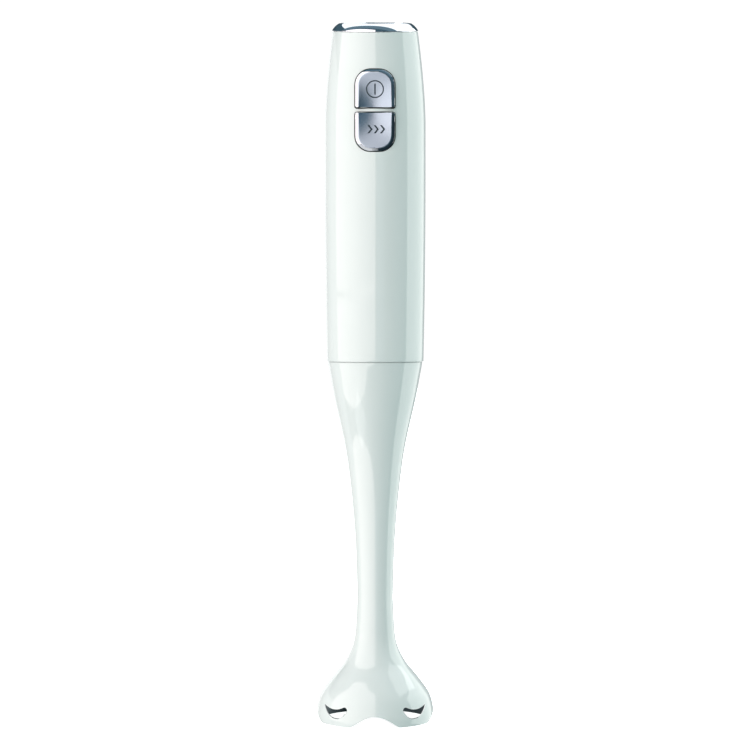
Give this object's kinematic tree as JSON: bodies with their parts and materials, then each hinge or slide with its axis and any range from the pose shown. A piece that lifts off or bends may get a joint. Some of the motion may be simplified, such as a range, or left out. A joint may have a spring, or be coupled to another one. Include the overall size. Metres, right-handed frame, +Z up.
{
  "type": "immersion blender",
  "caption": "Slim hand-held blender: a motor handle with two keys on a twist-off white foot with a domed bell and a swept blade.",
  "frame": {"origin": "on the floor under the middle of the bell, with the blender standing on its bell", "axes": "+Z up along the shaft towards the cap, -Y out of the keys, +X to the right as the keys are faced"},
  "size_m": [0.0646, 0.0646, 0.3876],
  "materials": {
    "white_shell": "glossy",
    "guard": "dark satin",
    "chrome": "mirror",
    "grey_plastic": "matte",
    "dark_plastic": "matte",
    "steel": "ground",
    "bronze": "sintered",
    "brass": "drawn",
    "copper": "enamelled wire",
    "laminations": "stamped",
    "alloy": "die cast",
    "rubber": "moulded",
    "carbon": "pressed carbon",
    "board": "printed circuit board",
    "capacitor": "moulded"
  },
  "bodies": {
    "foot": {"foot_shell": "white_shell", "bell_liner": "guard", "bayonet_ring": "grey_plastic", "shaft_tube": "steel", "upper_bush": "bronze", "lower_bush": "bronze", "shaft_seal": "rubber", "seal_retainer": "grey_plastic"},
    "drive_shaft": {"drive_shaft": "steel", "shaft_coupling": "dark_plastic", "blade": "steel", "thrust_washer": "steel", "blade_nut": "steel"},
    "neck_seal": {"neck_seal": "rubber"},
    "hand_unit": {"front_shell": "white_shell", "rear_shell": "white_shell", "neck_collar": "grey_plastic", "top_ring": "chrome", "top_plate": "white_shell", "cord_gland": "rubber", "lower_bracket": "alloy", "upper_bracket": "alloy", "lower_bearing": "steel", "upper_bearing": "steel", "damper_lower": "rubber", "damper_upper": "rubber", "stator_core": "laminations", "field_coil_front": "copper", "field_coil_rear": "copper", "motor_screw_front": "steel", "motor_screw_rear": "steel", "brush_holder_left": "brass", "brush_holder_right": "brass", "brush_spring_left": "steel", "brush_spring_right": "steel", "circuit_board": "board", "board_frame": "grey_plastic", "power_switch": "dark_plastic", "turbo_switch": "dark_plastic", "power_key_spring": "steel", "turbo_key_spring": "steel", "suppression_capacitor": "capacitor", "choke_left": "copper", "choke_right": "copper", "terminal_block": "grey_plastic"},
    "armature": {"armature_shaft": "steel", "armature_core": "laminations", "winding_head_lower": "copper", "winding_head_upper": "copper", "commutator": "copper", "cooling_fan": "dark_plastic", "drive_coupling": "dark_plastic"},
    "power_key": {"power_key": "chrome"},
    "turbo_key": {"turbo_key": "chrome"},
    "power_plunger": {"power_plunger": "dark_plastic"},
    "turbo_plunger": {"turbo_plunger": "dark_plastic"},
    "brush_left": {"carbon_brush_left": "carbon"},
    "brush_right": {"carbon_brush_right": "carbon"}
  },
  "joints": [
    {"name": "hand_unit_lift", "type": "slide", "parent": "foot", "child": "neck_seal", "axis": [0, 0, 1], "range_m": [0, 0.045]},
    {"name": "hand_unit_turn", "type": "hinge", "parent": "neck_seal", "child": "hand_unit", "pos_m": [0, 0, 0.1986], "axis": [0, 0, -1], "range_deg": [0, 20]},
    {"name": "armature_spin", "type": "hinge", "parent": "hand_unit", "child": "armature", "pos_m": [0, 0, 0.25], "axis": [0, 0, 1], "continuous": true},
    {"name": "drive_shaft_spin", "type": "hinge", "parent": "foot", "child": "drive_shaft", "pos_m": [0, 0, 0.013], "axis": [0, 0, 1], "continuous": true},
    {"name": "power_key_press", "type": "slide", "parent": "hand_unit", "child": "power_key", "axis": [0, 1, 0], "range_m": [0, 0.0015], "stiffness_N_per_m": 600, "springref_m": -0.003, "deforming": ["power_key_spring"]},
    {"name": "power_plunger_press", "type": "slide", "parent": "hand_unit", "child": "power_plunger", "axis": [0, 1, 0], "range_m": [0, 0.0015]},
    {"name": "turbo_key_press", "type": "slide", "parent": "hand_unit", "child": "turbo_key", "axis": [0, 1, 0], "range_m": [0, 0.0015], "stiffness_N_per_m": 600, "springref_m": -0.003, "deforming": ["turbo_key_spring"]},
    {"name": "turbo_plunger_press", "type": "slide", "parent": "hand_unit", "child": "turbo_plunger", "axis": [0, 1, 0], "range_m": [0, 0.0015]},
    {"name": "brush_left_float", "type": "slide", "parent": "hand_unit", "child": "brush_left", "axis": [-1, 0, 0], "range_m": [0, 0.002], "stiffness_N_per_m": 300, "springref_m": -0.005, "deforming": ["brush_spring_left"]},
    {"name": "brush_right_float", "type": "slide", "parent": "hand_unit", "child": "brush_right", "axis": [1, 0, 0], "range_m": [0, 0.002], "stiffness_N_per_m": 300, "springref_m": -0.005, "deforming": ["brush_spring_right"]}
  ],
  "couplings": [
    {"joint": "drive_shaft_spin", "follows": "armature_spin", "ratio": 1},
    {"joint": "power_plunger_press", "follows": "power_key_press", "ratio": 1},
    {"joint": "turbo_plunger_press", "follows": "turbo_key_press", "ratio": 1}
  ]
}
